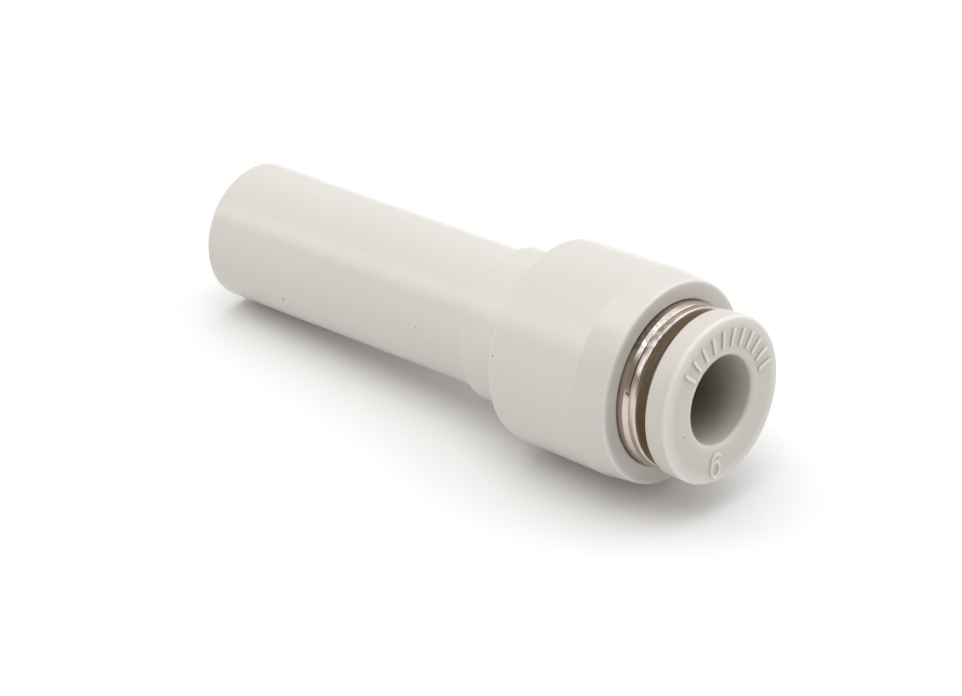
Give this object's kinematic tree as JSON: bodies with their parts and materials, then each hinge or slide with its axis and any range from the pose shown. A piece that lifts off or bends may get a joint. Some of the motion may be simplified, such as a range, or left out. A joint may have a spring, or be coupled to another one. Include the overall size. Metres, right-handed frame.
{
  "type": "plug-in push-in tube reducer fitting",
  "caption": "Moulded plug-in reducer for pneumatic tube: a smooth plug end, a collar, a barrel with a plated guide ring, and a push-in socket with a sliding release ring.",
  "frame": {"origin": "centre of the plug's end face, on which the fitting stands", "axes": "+Z along the fitting's axis, from the plug's end towards the release ring; the section is round, so X and Y only place the marks on the ring's face"},
  "size_m": [0.0148, 0.0148, 0.0443],
  "materials": {
    "body_resin": "moulded, satin",
    "ring_resin": "moulded, matt",
    "inner_resin": "moulded",
    "seal_rubber": "moulded rubber",
    "spring_steel": "stamped and bent",
    "nickel_plate": "turned brass, nickel plated and bright"
  },
  "bodies": {
    "fitting": {"body": "body_resin", "seal": "seal_rubber", "back_ring": "inner_resin", "claw_ring": "spring_steel", "guide_ring": "nickel_plate"},
    "release": {"release_ring": "ring_resin"}
  },
  "joints": [
    {"name": "release_slide", "type": "slide", "parent": "fitting", "child": "release", "axis": [0, 0, 1], "range_m": [-0.00095, 0], "stiffness_N_per_m": 300}
  ]
}
